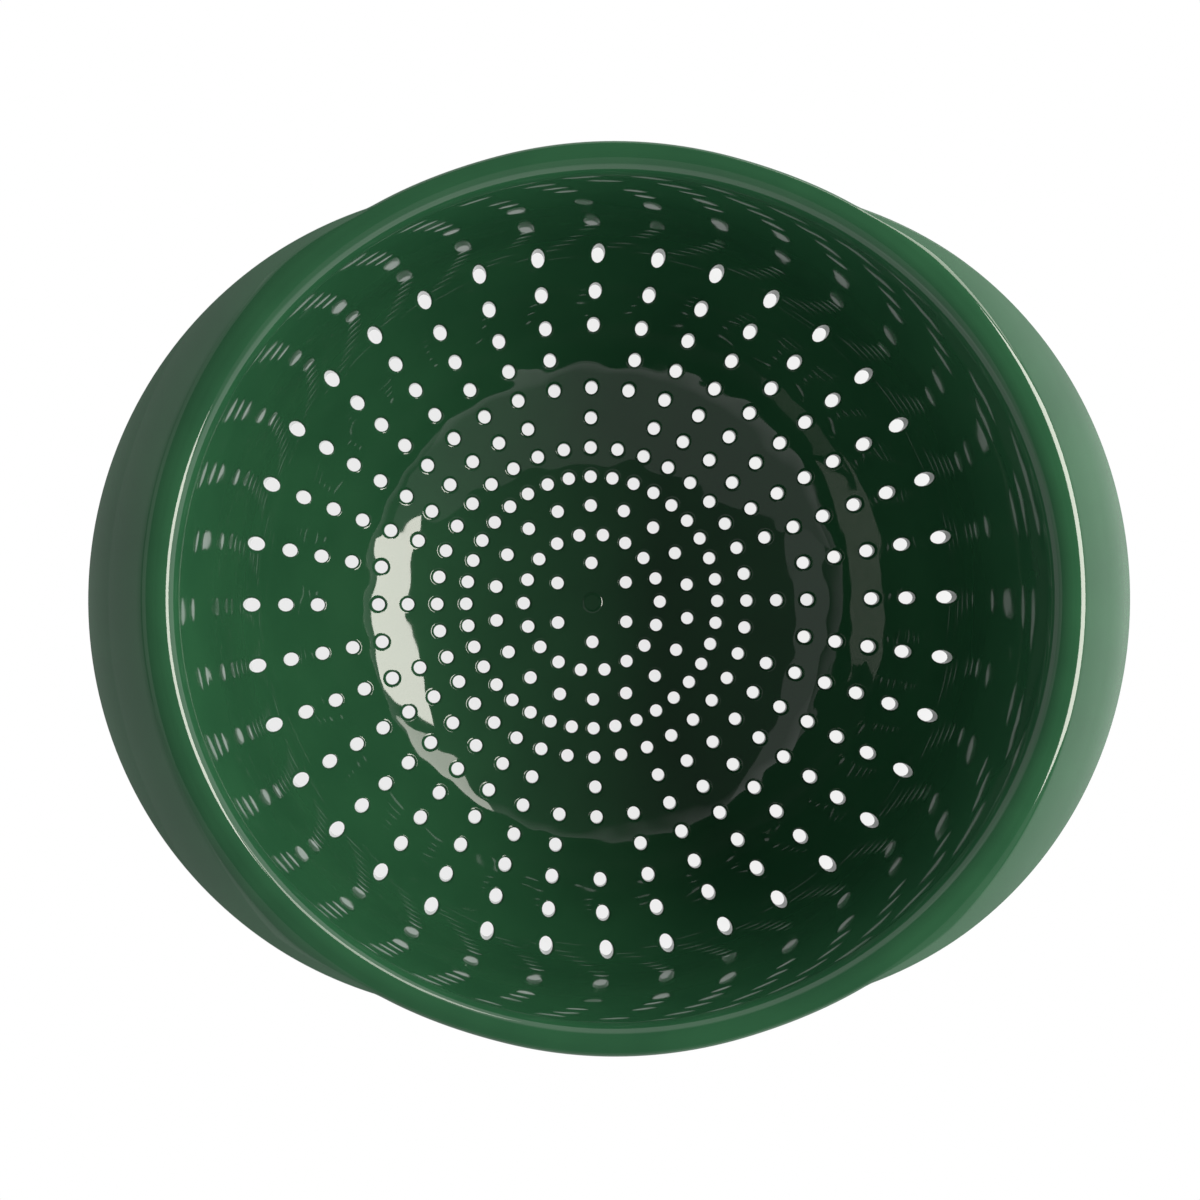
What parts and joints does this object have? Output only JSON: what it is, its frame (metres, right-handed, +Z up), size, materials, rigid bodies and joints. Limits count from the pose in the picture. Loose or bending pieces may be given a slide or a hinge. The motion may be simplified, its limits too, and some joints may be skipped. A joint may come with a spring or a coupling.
{
  "type": "colander",
  "caption": "Round moulded plastic colander: perforated bowl with a turned down rim, two drooping side handles and short horseshoe feet.",
  "frame": {"origin": "centre of the resting plane under the feet, on the bowl's axis", "axes": "+Z up along the bowl's axis, +X towards the right handle, so the handles lie along X"},
  "size_m": [0.3028, 0.2616, 0.134],
  "materials": {
    "polished_plastic": "polished moulded plastic, dark green, mirror-like all over"
  },
  "bodies": {
    "root": {"floor_disc": "polished_plastic", "heel_wall": "polished_plastic", "pierced_wall": "polished_plastic", "plain_wall": "polished_plastic", "rim_roll": "polished_plastic", "left_handle": "polished_plastic", "right_handle": "polished_plastic", "left_foot": "polished_plastic", "right_foot": "polished_plastic", "front_foot": "polished_plastic", "back_foot": "polished_plastic"}
  },
  "joints": []
}
